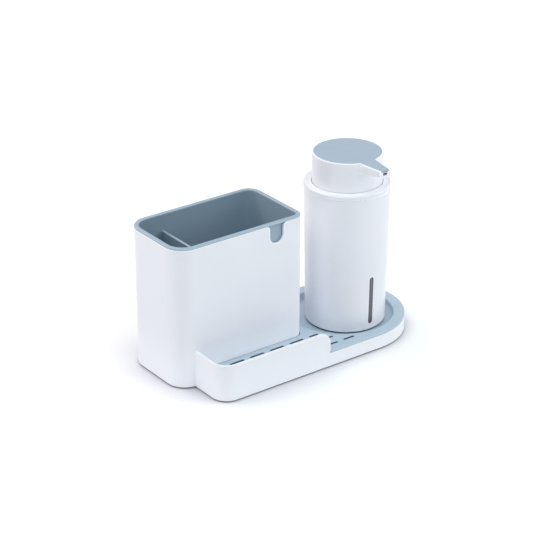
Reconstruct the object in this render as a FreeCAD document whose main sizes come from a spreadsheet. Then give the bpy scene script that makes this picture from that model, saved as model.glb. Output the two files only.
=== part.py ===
"""Soap pump caddy: a brush box and drip tray in one moulding, a lift-out liner, a lift-out drip plate and a
soap bottle whose lid carries a spring-return pump.

Millimetres, +Z up. The origin lies on the surface that the caddy stands on, under its centre.
The brush box is on the left (-X), the bottle on the right, and the spout points to the front (-Y).
"""
import FreeCAD
import Part
import math
import os
import Sketcher

SIZES = {
    # whole caddy
    "overall_length": 234.0,
    "tray_depth": 111.0,
    "foot_gap": 1.5,
    "seat_gap": 0.1,
    "overrun": 1.0,
    # brush box
    "box_length": 125.6,
    "box_depth": 73.0,
    "box_left_corner": 17.0,
    "box_front_right_corner": 9.0,
    "box_back_right_corner": 12.0,
    "box_wall": 2.0,
    "rim_top": 124.7,
    "rim_height": 1.7,
    "notch_centre": 97.4,
    "notch_width": 13.7,
    "notch_depth": 16.6,
    "notch_flare": 3.4,
    # tray
    "box_overhang": 15.3,
    "tray_corner": 13.8,
    "tray_wall": 2.2,
    "tall_wall_top": 33.2,
    "tall_wall_length": 109.3,
    "tall_wall_round": 11.0,
    "floor_raise": 2.0,
    "floor_thickness": 2.2,
    "ledge_width": 2.0,
    "edge_round": 0.8,
    # feet
    "foot_radius": 6.5,
    "foot_tip_radius": 5.6,
    "foot_inset": 16.0,
    # drip plate
    "plate_top": 14.8,
    "plate_thickness": 1.6,
    "plate_gap": 0.4,
    "plate_inset": 0.2,
    "plate_edge_round": 0.6,
    "recess_radius": 45.4,
    "recess_border": 10.1,
    "recess_depth": 5.1,
    "recess_round": 0.9,
    "skirt_drop": 3.0,
    "skirt_thickness": 1.4,
    "slot_length": 14.4,
    "slot_pitch": 20.3,
    "slot_width": 2.2,
    "slot_row_pitch": 10.3,
    "slot_row_offset": 7.1,
    "slot_first": 8.9,
    "slot_margin": 4.4,
    # liner
    "liner_gap": 0.4,
    "liner_wall": 1.4,
    "liner_floor": 1.6,
    "liner_clear": 0.6,
    "liner_draft": 0.5,
    "rim_round": 0.9,
    "divider_place": 32.9,
    "divider_thickness": 1.8,
    "divider_drop": 15.0,
    # bottle sleeve
    "bottle_shift_x": 2.3,
    "bottle_shift_y": -3.5,
    "sleeve_height": 122.0,
    "sleeve_base_radius": 34.2,
    "sleeve_top_radius": 36.2,
    "sleeve_wall": 2.0,
    "sleeve_floor": 2.2,
    "sleeve_foot_step": 1.0,
    "sleeve_foot_inset": 2.0,
    "sleeve_base_round": 1.2,
    # level window
    "window_low": 6.3,
    "window_height": 43.5,
    "window_width": 4.5,
    "window_recess": 0.4,
    "window_flange": 0.8,
    "window_lap": 1.2,
    "window_fit": 0.05,
    # tank
    "tank_gap": 1.1,
    "tank_wall": 1.5,
    # lid
    "lid_overhang": 0.4,
    "lid_reveal": 0.3,
    "lid_ring_height": 4.3,
    "lid_lip": 2.5,
    "lid_round": 1.4,
    "spigot_gap": 0.06,
    "spigot_wall": 2.0,
    "well_depth": 20.2,
    "deck_thickness": 2.0,
    "gasket_thickness": 1.2,
    "gasket_overlap": 1.2,
    # pump
    "press_travel": 12.0,
    "press_clearance": 1.2,
    "barrel_radius": 7.5,
    "barrel_wall": 1.5,
    "barrel_depth": 35.5,
    "barrel_hole_gap": 0.4,
    "flange_width": 4.0,
    "flange_thickness": 1.5,
    "washer_thickness": 1.0,
    "ball_radius": 3.0,
    "ball_clearance": 1.0,
    "ball_seat_radius": 2.2,
    "ball_chamber_depth": 7.0,
    "ball_lip": 1.3,
    "ball_gap": 0.05,
    "chamber_wall": 1.5,
    "tube_radius": 3.2,
    "tube_wall": 1.0,
    "tube_socket": 10.0,
    "tube_seat": 4.0,
    "tube_clear": 1.4,
    "guide_plug": 5.5,
    "guide_cap": 1.5,
    "guide_tower": 4.8,
    "guide_wall": 1.9,
    "guide_fit": 0.08,
    "piston_fit": 0.05,
    "piston_height": 8.0,
    "piston_lip": 2.2,
    "piston_waist": 0.9,
    "piston_stop_gap": 0.3,
    "stem_radius": 4.5,
    "stem_bore": 2.4,
    "stem_cup_radius": 3.6,
    "stem_cup_depth": 8.0,
    "stem_top": 46.1,
    "press_fit": 0.02,
    "spring_radius": 5.9,
    "spring_wire": 1.0,
    "spring_gap": 0.15,
    "spring_turns": 7,
    # pump head
    "head_radius": 29.7,
    "head_bore_gap": 0.4,
    "head_rise": 25.7,
    "head_wall": 2.0,
    "head_roof": 1.6,
    "head_rim": 1.3,
    "head_round": 0.5,
    "boss_wall": 1.6,
    "boss_length": 18.4,
    "spout_reach": 51.5,
    "spout_swing": -2.9,
    "spout_root_width": 17.0,
    "spout_tip_width": 10.5,
    "spout_root_height": 9.0,
    "spout_tip_height": 5.4,
    "spout_root_round": 2.5,
    "spout_root_bite": 0.2,
    "inlay_thickness": 1.1,
    "inlay_gap": 0.12,
    "duct_width": 5.0,
    "duct_height": 3.0,
    "duct_wall": 0.6,
    "duct_cover": 0.4,
    "duct_fit": 0.05,
    "elbow_radius": 6.0,
    "elbow_length": 11.5,
}

doc = FreeCAD.newDocument("soap_pump_caddy")
sheet = doc.addObject("Spreadsheet::Sheet", "sizes")
for row, (alias, number) in enumerate(SIZES.items(), start=1):
    sheet.set(f"A{row}", alias)
    sheet.set(f"B{row}", str(number))
    sheet.setAlias(f"B{row}", alias)
doc.recompute()


class Formula:
    """A length worked out from the sheet: the expression that binds it and what it comes to."""

    def __init__(self, text, value):
        self.text = text
        self.value = value

    def __neg__(self):
        return Formula(f"(-{self.text})", -self.value)

    def __add__(self, other):
        return Formula(f"({self.text} + {other.text})", self.value + other.value)

    def __sub__(self, other):
        return Formula(f"({self.text} - {other.text})", self.value - other.value)

    def __mul__(self, factor):
        if isinstance(factor, Formula):
            return Formula(f"({self.text} * {factor.text})", self.value * factor.value)
        return Formula(f"({self.text} * {factor})", self.value * factor)

    def __truediv__(self, factor):
        if isinstance(factor, Formula):
            return Formula(f"({self.text} / {factor.text})", self.value / factor.value)
        return Formula(f"({self.text} / {factor})", self.value / factor)


def root(square):
    return Formula(f"sqrt({square.text})", math.sqrt(square.value))


class Sheet:
    """The sheet's cells by alias, as formulas."""

    def __getattr__(self, alias):
        return Formula(f"sizes.{alias}", sheet.get(alias))


S = Sheet()
ZERO = Formula("0", 0.0)
CLOSE = S.seat_gap.value / 2
UP = FreeCAD.Vector(0, 0, 1)

# places in plan
LEFT = -S.overall_length / 2
RIGHT = S.overall_length / 2
FRONT = -S.tray_depth / 2
BACK = S.tray_depth / 2
BOX_RIGHT = LEFT + S.box_length
BOX_FRONT = BACK - S.box_depth
BOX_MID_X = LEFT + S.box_length / 2
BOX_MID_Y = BACK - S.box_depth / 2
TRAY_LEFT = LEFT + S.box_overhang
END_RADIUS = S.tray_depth / 2
END_X = RIGHT - END_RADIUS
WALL_END = TRAY_LEFT + S.tall_wall_length
RECESS_X = RIGHT - S.recess_border - S.recess_radius
BOTTLE_X = RECESS_X + S.bottle_shift_x
BOTTLE_Y = S.bottle_shift_y

# heights of the caddy
FLOOR_UNDER = S.foot_gap + S.floor_raise
FLOOR_TOP = FLOOR_UNDER + S.floor_thickness
PLATE_UNDER = S.plate_top - S.plate_thickness
TRAY_TOP = PLATE_UNDER - S.seat_gap
RIM_UNDER = S.rim_top - S.rim_height
BOX_TOP = RIM_UNDER - S.seat_gap

# heights of the bottle and pump
RECESS_FLOOR = S.plate_top - S.recess_depth
BOTTLE_BOTTOM = RECESS_FLOOR + S.seat_gap
SLEEVE_SHOULDER = BOTTLE_BOTTOM + S.sleeve_foot_step
SLEEVE_FLOOR_TOP = SLEEVE_SHOULDER + S.sleeve_floor
SLEEVE_TOP = BOTTLE_BOTTOM + S.sleeve_height
LID_BOTTOM = SLEEVE_TOP + S.lid_reveal
LID_TOP = LID_BOTTOM + S.lid_ring_height
DECK_TOP = LID_TOP - S.well_depth
DECK_UNDER = DECK_TOP - S.deck_thickness
TANK_TOP = DECK_UNDER - S.gasket_thickness - S.seat_gap
TANK_FLOOR_TOP = SLEEVE_FLOOR_TOP + S.tank_wall
FLANGE_UNDER = DECK_TOP + S.washer_thickness
FLANGE_TOP = FLANGE_UNDER + S.flange_thickness
BARREL_FLOOR = FLANGE_TOP - S.barrel_depth
BALL_SEAT = BARREL_FLOOR - S.ball_chamber_depth
TUBE_TOP = BALL_SEAT - S.tube_seat
NIPPLE_END = TUBE_TOP - S.tube_socket
GUIDE_BOTTOM = FLANGE_TOP - S.guide_plug
PISTON_TOP = GUIDE_BOTTOM - S.piston_stop_gap
PISTON_BOTTOM = PISTON_TOP - S.piston_height
STEM_TOP = PISTON_BOTTOM + S.stem_top
STEM_CUP = STEM_TOP - S.stem_cup_depth
HEAD_TOP = LID_TOP + S.head_rise
HEAD_SKIRT = DECK_TOP + S.press_travel + S.press_clearance
INLAY_UNDER = HEAD_TOP - S.inlay_thickness
ROOF_UNDER = INLAY_UNDER - S.head_roof
DUCT_TOP = INLAY_UNDER - S.duct_cover
DUCT_UNDER = DUCT_TOP - S.duct_height

nodes = []


def new_body(label):
    body = doc.addObject("PartDesign::Body", label)
    nodes.append(body)
    return body


def on_bottle_axis(thing):
    thing.setExpression("Placement.Base.x", BOTTLE_X.text)
    thing.setExpression("Placement.Base.y", BOTTLE_Y.text)
    return thing


def sketch_on(body, name, plane, offset=ZERO):
    """A sketch on one of the body's origin planes, moved along the plane's normal."""
    sketch = body.newObject("Sketcher::SketchObject", name)
    support = [feature for feature in body.Origin.OriginFeatures if feature.Role == plane][0]
    sketch.AttachmentSupport = [(support, "")]
    sketch.MapMode = "FlatFace"
    sketch.setExpression("AttachmentOffset.Base.z", offset.text)
    return sketch


def pin(sketch, kind, geometry, point, size):
    """Bind one coordinate of a point to the sheet."""
    number = sketch.addConstraint(Sketcher.Constraint(kind, geometry, point, size.value))
    sketch.setExpression(f"Constraints[{number}]", size.text)


def outline(sketch, first, *legs):
    """A closed outline of lines and arcs.

    A leg is the point where it ends, (x, y). An arc adds its centre and its turn: (x, y, cx, cy, turn), where
    a turn of 1 is anticlockwise and -1 clockwise. The last leg ends at the first point.
    """
    points = [first] + [leg[:2] for leg in legs]
    placed = []
    for begin, leg in zip(points, legs):
        start = FreeCAD.Vector(begin[0].value, begin[1].value, 0)
        end = FreeCAD.Vector(leg[0].value, leg[1].value, 0)
        if len(leg) == 2:
            number = sketch.addGeometry(Part.LineSegment(start, end), False)
            placed.append((number, 1, 2))
            continue
        centre = FreeCAD.Vector(leg[2].value, leg[3].value, 0)
        arms = (start - centre, end - centre) if leg[4] > 0 else (end - centre, start - centre)
        angles = [math.atan2(arm.y, arm.x) for arm in arms]
        if angles[1] < angles[0]:
            angles[1] += 2 * math.pi
        ring = Part.Circle(centre, UP, arms[0].Length)
        number = sketch.addGeometry(Part.ArcOfCircle(ring, *angles), False)
        placed.append((number, 1, 2) if leg[4] > 0 else (number, 2, 1))
        pin(sketch, "DistanceX", number, 3, leg[2])
        pin(sketch, "DistanceY", number, 3, leg[3])
    for index, leg in enumerate(legs):
        number, _, last = placed[index]
        following, start, _ = placed[(index + 1) % len(legs)]
        sketch.addConstraint(Sketcher.Constraint("Coincident", number, last, following, start))
        across = len(leg) == 5 and abs(leg[0].value - leg[2].value) > abs(leg[1].value - leg[3].value)
        if len(leg) == 2 or not across:
            pin(sketch, "DistanceX", number, last, leg[0])
        if len(leg) == 2 or across:
            pin(sketch, "DistanceY", number, last, leg[1])


def circle(sketch, x, y, radius):
    centre = FreeCAD.Vector(x.value, y.value, 0)
    number = sketch.addGeometry(Part.Circle(centre, UP, radius.value), False)
    pin(sketch, "DistanceX", number, 3, x)
    pin(sketch, "DistanceY", number, 3, y)
    bound = sketch.addConstraint(Sketcher.Constraint("Radius", number, radius.value))
    sketch.setExpression(f"Constraints[{bound}]", radius.text)


def rectangle(sketch, x0, x1, y0, y1):
    outline(sketch, (x0, y0), (x1, y0), (x1, y1), (x0, y1), (x0, y0))


def box_outline(sketch, inset):
    """The brush box's rounded outline, inset from its outer face."""
    x0, x1, y0, y1 = LEFT + inset, BOX_RIGHT - inset, BOX_FRONT + inset, BACK - inset
    left_x = LEFT + S.box_left_corner
    left_front, left_back = BOX_FRONT + S.box_left_corner, BACK - S.box_left_corner
    front_x, right_front = BOX_RIGHT - S.box_front_right_corner, BOX_FRONT + S.box_front_right_corner
    back_x, right_back = BOX_RIGHT - S.box_back_right_corner, BACK - S.box_back_right_corner
    outline(
        sketch,
        (left_x, y0),
        (front_x, y0),
        (x1, right_front, front_x, right_front, 1),
        (x1, right_back),
        (back_x, y1, back_x, right_back, 1),
        (left_x, y1),
        (x0, left_back, left_x, left_back, 1),
        (x0, left_front),
        (left_x, y0, left_x, left_front, 1),
    )


def slot(sketch, x0, x1, y, width):
    """A slot along x with round ends."""
    half = width / 2
    a, b = x0 + half, x1 - half
    low, high = y - half, y + half
    outline(sketch, (a, low), (b, low), (b, high, b, y, 1), (a, high), (a, low, a, y, 1))


def upright_slot(sketch, x, y0, y1, width):
    """A slot along y with round ends."""
    half = width / 2
    a, b = y0 + half, y1 - half
    left, right = x - half, x + half
    outline(sketch, (right, a), (right, b), (left, b, x, b, 1), (left, a), (right, a, x, a, 1))


def pad(body, sketch, length):
    feature = body.newObject("PartDesign::Pad", sketch.Name + "_pad")
    feature.Profile = sketch
    feature.setExpression("Length", length.text)
    doc.recompute()
    return feature


def cut(body, kind, sketch, prepare):
    """A cutting feature, which has to take material away."""
    doc.recompute()
    before = body.Shape.Volume
    feature = body.newObject(kind, sketch.Name + "_cut")
    feature.Profile = sketch
    prepare(feature)
    doc.recompute()
    if not body.Shape.Volume < before:
        raise RuntimeError(f"{body.Label}: {feature.Name} cuts nothing")
    return feature


def pocket(body, sketch, depth, upward=False):
    def prepare(feature):
        feature.setExpression("Length", depth.text)
        feature.Reversed = upward

    return cut(body, "PartDesign::Pocket", sketch, prepare)


def groove(body, sketch):
    def prepare(feature):
        feature.ReferenceAxis = (sketch, ["V_Axis"])

    return cut(body, "PartDesign::Groove", sketch, prepare)


def revolve(body, sketch):
    feature = body.newObject("PartDesign::Revolution", sketch.Name + "_turn")
    feature.Profile = sketch
    feature.ReferenceAxis = (sketch, ["V_Axis"])
    doc.recompute()
    return feature


def turned(label, first, *legs):
    """A body of revolution about the bottle's axis, from its profile in radius and height."""
    body = on_bottle_axis(new_body(label))
    profile = sketch_on(body, label + "_profile", "XZ_Plane")
    outline(profile, first, *legs)
    revolve(body, profile)
    return body


def fillet(body, name, radius, wanted):
    """Round the body's edges that pass the test."""
    doc.recompute()
    chosen = [f"Edge{i}" for i, edge in enumerate(body.Shape.Edges, start=1) if wanted(edge)]
    feature = body.newObject("PartDesign::Fillet", name)
    feature.Base = (body.Tip if body.Tip != feature else feature.BaseFeature, chosen)
    feature.setExpression("Radius", radius.text)
    doc.recompute()
    return feature


def level_at(edge, height):
    """True for an edge that lies level at this height."""
    box = edge.BoundBox
    return abs(box.ZMin - height.value) < CLOSE and abs(box.ZMax - height.value) < CLOSE


def tray_side_outline(sketch, inset):
    """The tray's floor space in front of the box and to its right, inset from the tray's outer outline."""
    corner_x, corner_y = TRAY_LEFT + S.tray_corner, FRONT + S.tray_corner
    turn_x, turn_y = BOX_RIGHT - S.box_front_right_corner, BOX_FRONT + S.box_front_right_corner
    outline(
        sketch,
        (TRAY_LEFT + inset, BOX_FRONT),
        (TRAY_LEFT + inset, corner_y),
        (corner_x, FRONT + inset, corner_x, corner_y, 1),
        (END_X, FRONT + inset),
        (END_X, BACK - inset, END_X, ZERO, 1),
        (BOX_RIGHT, BACK - inset),
        (BOX_RIGHT, turn_y),
        (turn_x, BOX_FRONT, turn_x, turn_y, -1),
        (TRAY_LEFT + inset, BOX_FRONT),
    )


def wall_strip(sketch, outside, inside, end):
    """A strip that follows the tray's left side and front, between two insets."""
    corner_x, corner_y = TRAY_LEFT + S.tray_corner, FRONT + S.tray_corner
    outline(
        sketch,
        (TRAY_LEFT + outside, BOX_FRONT + S.box_wall / 2),
        (TRAY_LEFT + outside, corner_y),
        (corner_x, FRONT + outside, corner_x, corner_y, 1),
        (end, FRONT + outside),
        (end, FRONT + inside),
        (corner_x, FRONT + inside),
        (TRAY_LEFT + inside, corner_y, corner_x, corner_y, -1),
        (TRAY_LEFT + inside, BOX_FRONT + S.box_wall / 2),
        (TRAY_LEFT + outside, BOX_FRONT + S.box_wall / 2),
    )


def make_caddy_body():
    body = new_body("caddy_body")

    tall_wall = sketch_on(body, "tall_wall", "XY_Plane", S.foot_gap)
    wall_strip(tall_wall, ZERO, S.tray_wall, WALL_END)
    pad(body, tall_wall, S.tall_wall_top - S.foot_gap)
    round_tall_wall(body)

    box = sketch_on(body, "box_outline", "XY_Plane", S.foot_gap)
    box_outline(box, ZERO)
    pad(body, box, BOX_TOP - S.foot_gap)

    tray = sketch_on(body, "tray_outline", "XY_Plane", S.foot_gap)
    corner_x, corner_y = TRAY_LEFT + S.tray_corner, FRONT + S.tray_corner
    outline(
        tray,
        (TRAY_LEFT, BOX_MID_Y),
        (TRAY_LEFT, corner_y),
        (corner_x, FRONT, corner_x, corner_y, 1),
        (END_X, FRONT),
        (END_X, BACK, END_X, ZERO, 1),
        (BOX_MID_X, BACK),
        (BOX_MID_X, BOX_MID_Y),
        (TRAY_LEFT, BOX_MID_Y),
    )
    pad(body, tray, TRAY_TOP - S.foot_gap)

    basin = sketch_on(body, "basin", "XY_Plane", TRAY_TOP)
    tray_side_outline(basin, S.tray_wall)
    pocket(body, basin, TRAY_TOP - FLOOR_TOP)

    ledge = sketch_on(body, "front_ledge", "XY_Plane", FLOOR_UNDER)
    wall_strip(ledge, S.tray_wall / 2, S.tray_wall + S.ledge_width, WALL_END)
    pad(body, ledge, TRAY_TOP - FLOOR_UNDER)

    box_ledge = sketch_on(body, "box_ledge", "XY_Plane", FLOOR_UNDER)
    out = S.ledge_width
    turn_x, turn_y = BOX_RIGHT - S.box_front_right_corner, BOX_FRONT + S.box_front_right_corner
    inner = S.box_wall / 2
    outline(
        box_ledge,
        (TRAY_LEFT + S.tray_wall, BOX_FRONT - out),
        (turn_x, BOX_FRONT - out),
        (BOX_RIGHT + out, turn_y, turn_x, turn_y, 1),
        (BOX_RIGHT + out, BACK - S.tray_wall),
        (BOX_RIGHT - inner, BACK - S.tray_wall),
        (BOX_RIGHT - inner, turn_y),
        (turn_x, BOX_FRONT + inner, turn_x, turn_y, -1),
        (TRAY_LEFT + S.tray_wall, BOX_FRONT + inner),
        (TRAY_LEFT + S.tray_wall, BOX_FRONT - out),
    )
    pad(body, box_ledge, TRAY_TOP - FLOOR_UNDER)

    cavity = sketch_on(body, "box_cavity", "XY_Plane", BOX_TOP)
    box_outline(cavity, S.box_wall)
    pocket(body, cavity, BOX_TOP - FLOOR_TOP)

    hollow = sketch_on(body, "box_underside", "XY_Plane", S.foot_gap)
    box_outline(hollow, S.box_wall)
    pocket(body, hollow, S.floor_raise, upward=True)

    tray_hollow = sketch_on(body, "tray_underside", "XY_Plane", S.foot_gap)
    tray_side_outline(tray_hollow, S.tray_wall)
    pocket(body, tray_hollow, S.floor_raise, upward=True)

    cut_lift_notch(body)


def cut_lift_notch(body):
    """The U-shaped finger notch at the top of the box's front wall, with flared upper corners."""
    notch = sketch_on(body, "lift_notch", "XZ_Plane", -BOX_FRONT)
    middle = LEFT + S.notch_centre
    half = S.notch_width / 2
    bottom = BOX_TOP - S.notch_depth + half
    left, right = middle - half, middle + half
    flare = S.notch_flare
    above = BOX_TOP + S.overrun
    outline(
        notch,
        (left - flare, BOX_TOP),
        (left, BOX_TOP - flare, left - flare, BOX_TOP - flare, -1),
        (left, bottom),
        (right, bottom, middle, bottom, 1),
        (right, BOX_TOP - flare),
        (right + flare, BOX_TOP, right + flare, BOX_TOP - flare, -1),
        (right + flare, above),
        (left - flare, above),
        (left - flare, BOX_TOP),
    )
    pocket(body, notch, S.box_wall + S.overrun)


def round_tall_wall(body):
    """The large round at the end of the tall wall, and soft edges along its top."""
    def end_corner(edge):
        return level_at(edge, S.tall_wall_top) and edge.BoundBox.XMin > WALL_END.value - CLOSE

    fillet(body, "tall_wall_end", S.tall_wall_round, end_corner)

    def long_edge(edge):
        return level_at(edge, S.tall_wall_top) and edge.Length > S.tray_wall.value + CLOSE

    fillet(body, "tall_wall_soft_top", S.edge_round, long_edge)


def make_rubber_feet():
    """Two feet under the box, one under the tray's front corner and two under its round end."""
    inset = S.foot_inset
    places = (
        (LEFT + inset, BACK - inset),
        (LEFT + inset, BOX_FRONT + inset),
        (TRAY_LEFT + inset, FRONT + inset),
        (END_X + inset, FRONT + inset),
        (END_X + inset, BACK - inset),
    )
    feet = []
    for index, (x, y) in enumerate(places, start=1):
        foot = doc.addObject("Part::Cone", f"rubber_foot_{index}")
        foot.setExpression("Radius1", S.foot_tip_radius.text)
        foot.setExpression("Radius2", S.foot_radius.text)
        foot.setExpression("Height", FLOOR_UNDER.text)
        foot.setExpression("Placement.Base.x", x.text)
        foot.setExpression("Placement.Base.y", y.text)
        feet.append(foot)
    group = doc.addObject("Part::Compound", "rubber_feet")
    group.Links = feet
    nodes.append(group)


def make_drip_plate():
    body = new_body("drip_plate")
    gap, inset = S.plate_gap, S.plate_inset
    inside = S.tray_wall + gap
    corner_x, corner_y = TRAY_LEFT + S.tray_corner, FRONT + S.tray_corner
    turn_x, turn_y = BOX_RIGHT - S.box_front_right_corner, BOX_FRONT + S.box_front_right_corner

    sheet_outline = sketch_on(body, "plate_outline", "XY_Plane", PLATE_UNDER)
    outline(
        sheet_outline,
        (TRAY_LEFT + inside, BOX_FRONT - gap),
        (TRAY_LEFT + inside, corner_y),
        (corner_x, FRONT + inside, corner_x, corner_y, 1),
        (WALL_END + gap, FRONT + inside),
        (WALL_END + gap, FRONT + inset),
        (END_X, FRONT + inset),
        (END_X, BACK - inset, END_X, ZERO, 1),
        (BOX_RIGHT + gap, BACK - inset),
        (BOX_RIGHT + gap, turn_y),
        (turn_x, BOX_FRONT - gap, turn_x, turn_y, -1),
        (TRAY_LEFT + inside, BOX_FRONT - gap),
    )
    pad(body, sheet_outline, S.plate_thickness)

    cup = sketch_on(body, "recess_cup", "XY_Plane", RECESS_FLOOR - S.plate_thickness)
    circle(cup, RECESS_X, ZERO, S.recess_radius + S.plate_thickness)
    pad(body, cup, S.recess_depth)

    outer = END_RADIUS - inside
    inner = outer - S.skirt_thickness
    skirt = sketch_on(body, "locating_skirt", "XY_Plane", PLATE_UNDER - S.skirt_drop)
    outline(
        skirt,
        (END_X, -outer),
        (END_X, outer, END_X, ZERO, 1),
        (END_X, inner),
        (END_X, -inner, END_X, ZERO, -1),
        (END_X, -outer),
    )
    pad(body, skirt, S.skirt_drop + S.plate_thickness / 2)

    recess = sketch_on(body, "bottle_recess", "XY_Plane", S.plate_top)
    circle(recess, RECESS_X, ZERO, S.recess_radius)
    pocket(body, recess, S.recess_depth)

    slots = sketch_on(body, "drain_slots", "XY_Plane", S.plate_top)
    draw_drain_slots(slots)
    pocket(body, slots, S.plate_thickness + S.overrun)

    def open_edge(edge):
        box = edge.BoundBox
        outermost = box.YMin < (FRONT + inset).value + CLOSE or box.YMax > (BACK - inset).value - CLOSE
        return level_at(edge, S.plate_top) and outermost and edge.Length > S.slot_length.value

    fillet(body, "plate_soft_edge", S.plate_edge_round, open_edge)

    def lip(edge):
        return level_at(edge, S.plate_top) and is_round(edge, S.recess_radius)

    fillet(body, "recess_lip", S.recess_round, lip)

    def foot_of_recess(edge):
        return level_at(edge, RECESS_FLOOR) and is_round(edge, S.recess_radius)

    fillet(body, "recess_foot", S.recess_round, foot_of_recess)


def is_round(edge, radius):
    """True for an arc or circle of this radius."""
    curve = edge.Curve
    return isinstance(curve, Part.Circle) and abs(curve.Radius - radius.value) < CLOSE


def draw_drain_slots(sketch):
    """Three staggered rows along the front; each row stops where it would run into the recess."""
    limit = S.recess_radius + S.slot_margin
    for row in range(3):
        y = BOX_FRONT - S.slot_row_offset - S.slot_row_pitch * row
        row_end = RECESS_X - root(limit * limit - y * y)
        start = TRAY_LEFT + S.slot_first
        if row % 2:
            start = start + S.slot_pitch / 2
        while (start + S.slot_width).value < row_end.value:
            end = start + S.slot_length
            if end.value > row_end.value:
                end = row_end
            slot(sketch, start, end, y, S.slot_width)
            start = start + S.slot_pitch


def make_brush_liner():
    body = new_body("brush_liner")
    outside = S.box_wall + S.liner_gap
    inside = outside + S.liner_wall
    bottom = FLOOR_TOP + S.liner_clear

    def tub(name, height, inset):
        sketch = sketch_on(body, name, "XY_Plane", height)
        box_outline(sketch, inset)
        return sketch

    tub_top = tub("tub_top", RIM_UNDER, outside)
    tub_bottom = tub("tub_bottom", bottom, outside + S.liner_draft)
    loft = body.newObject("PartDesign::AdditiveLoft", "tub_loft")
    loft.Profile = tub_top
    loft.Sections = [tub_bottom]
    loft.Ruled = True
    doc.recompute()

    rim = tub("rim_outline", RIM_UNDER, ZERO)
    pad(body, rim, S.rim_height)

    hollow_top = tub("hollow_top", S.rim_top, inside)
    hollow_bottom = tub("hollow_bottom", bottom + S.liner_floor, inside + S.liner_draft)
    hollow = body.newObject("PartDesign::SubtractiveLoft", "hollow_loft")
    hollow.Profile = hollow_top
    hollow.Sections = [hollow_bottom]
    hollow.Ruled = True
    doc.recompute()

    divider = sketch_on(body, "divider", "XY_Plane", bottom + S.liner_floor / 2)
    half = S.divider_thickness / 2
    middle = LEFT + S.divider_place
    reach = inside - S.liner_wall / 2
    rectangle(divider, middle - half, middle + half, BOX_FRONT + reach, BACK - reach)
    pad(body, divider, S.rim_top - S.divider_drop - bottom - S.liner_floor / 2)

    def rim_edge(edge):
        return level_at(edge, S.rim_top)

    fillet(body, "rim_soft_top", S.rim_round, rim_edge)


def sleeve_radius(height):
    """Outer radius of the tapered sleeve at a height."""
    slope = (S.sleeve_top_radius - S.sleeve_base_radius) / (S.sleeve_height - S.sleeve_foot_step)
    return S.sleeve_base_radius + slope * (height - SLEEVE_SHOULDER)


def make_bottle_sleeve():
    foot = S.sleeve_base_radius - S.sleeve_foot_inset
    inner = sleeve_radius(SLEEVE_FLOOR_TOP) - S.sleeve_wall
    body = turned(
        "bottle_sleeve",
        (ZERO, SLEEVE_SHOULDER),
        (foot - S.sleeve_foot_inset, SLEEVE_SHOULDER),
        (foot - S.sleeve_foot_inset, BOTTLE_BOTTOM),
        (foot, BOTTLE_BOTTOM),
        (foot, SLEEVE_SHOULDER),
        (S.sleeve_base_radius, SLEEVE_SHOULDER),
        (S.sleeve_top_radius, SLEEVE_TOP),
        (S.sleeve_top_radius - S.sleeve_wall, SLEEVE_TOP),
        (inner, SLEEVE_FLOOR_TOP),
        (ZERO, SLEEVE_FLOOR_TOP),
        (ZERO, SLEEVE_SHOULDER),
    )
    low = BOTTLE_BOTTOM + S.window_low
    far = S.sleeve_top_radius + S.overrun
    near = S.sleeve_base_radius - S.sleeve_wall * 2
    window = sketch_on(body, "window_slot", "XZ_Plane", far)
    upright_slot(window, ZERO, low, low + S.window_height, S.window_width)
    pocket(body, window, far - near)

    def base_edge(edge):
        return level_at(edge, SLEEVE_SHOULDER) and is_round(edge, S.sleeve_base_radius)

    fillet(body, "base_soft_edge", S.sleeve_base_round, base_edge)


def make_level_window():
    """A clear strip that fills the slot, with a flange behind the sleeve's wall."""
    body = on_bottle_axis(new_body("level_window"))
    low = BOTTLE_BOTTOM + S.window_low
    high = low + S.window_height
    bottom, top = low - S.window_lap * 2, high + S.window_lap * 2
    far = S.sleeve_top_radius + S.overrun
    near = S.sleeve_base_radius - S.sleeve_wall * 2

    def inner_radius(height):
        return sleeve_radius(height) - S.sleeve_wall - S.window_fit

    flange = sketch_on(body, "flange_outline", "XZ_Plane", near)
    wide = S.window_width + S.window_lap * 2
    upright_slot(flange, ZERO, low - S.window_lap, high + S.window_lap, wide)
    pad(body, flange, far - near)

    trim = sketch_on(body, "flange_face", "XZ_Plane")
    beyond = far + S.overrun
    outline(
        trim,
        (inner_radius(bottom), bottom),
        (beyond, bottom),
        (beyond, top),
        (inner_radius(top), top),
        (inner_radius(bottom), bottom),
    )
    groove(body, trim)

    lens = sketch_on(body, "lens_outline", "XZ_Plane", near)
    fit = S.window_fit
    upright_slot(lens, ZERO, low + fit, high - fit, S.window_width - fit * 2)
    pad(body, lens, far - near)

    face = sketch_on(body, "lens_face", "XZ_Plane")
    outline(
        face,
        (sleeve_radius(bottom) - S.window_recess, bottom),
        (beyond, bottom),
        (beyond, top),
        (sleeve_radius(top) - S.window_recess, top),
        (sleeve_radius(bottom) - S.window_recess, bottom),
    )
    groove(body, face)

    back_face = sketch_on(body, "flange_back", "XZ_Plane")
    outline(
        back_face,
        (ZERO, bottom),
        (inner_radius(bottom) - S.window_flange, bottom),
        (inner_radius(top) - S.window_flange, top),
        (ZERO, top),
        (ZERO, bottom),
    )
    groove(body, back_face)


def make_inner_tank():
    def outer(height):
        return sleeve_radius(height) - S.sleeve_wall - S.tank_gap

    turned(
        "inner_tank",
        (ZERO, SLEEVE_FLOOR_TOP),
        (outer(SLEEVE_FLOOR_TOP), SLEEVE_FLOOR_TOP),
        (outer(TANK_TOP), TANK_TOP),
        (outer(TANK_TOP) - S.tank_wall, TANK_TOP),
        (outer(TANK_FLOOR_TOP) - S.tank_wall, TANK_FLOOR_TOP),
        (ZERO, TANK_FLOOR_TOP),
        (ZERO, SLEEVE_FLOOR_TOP),
    )


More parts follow.
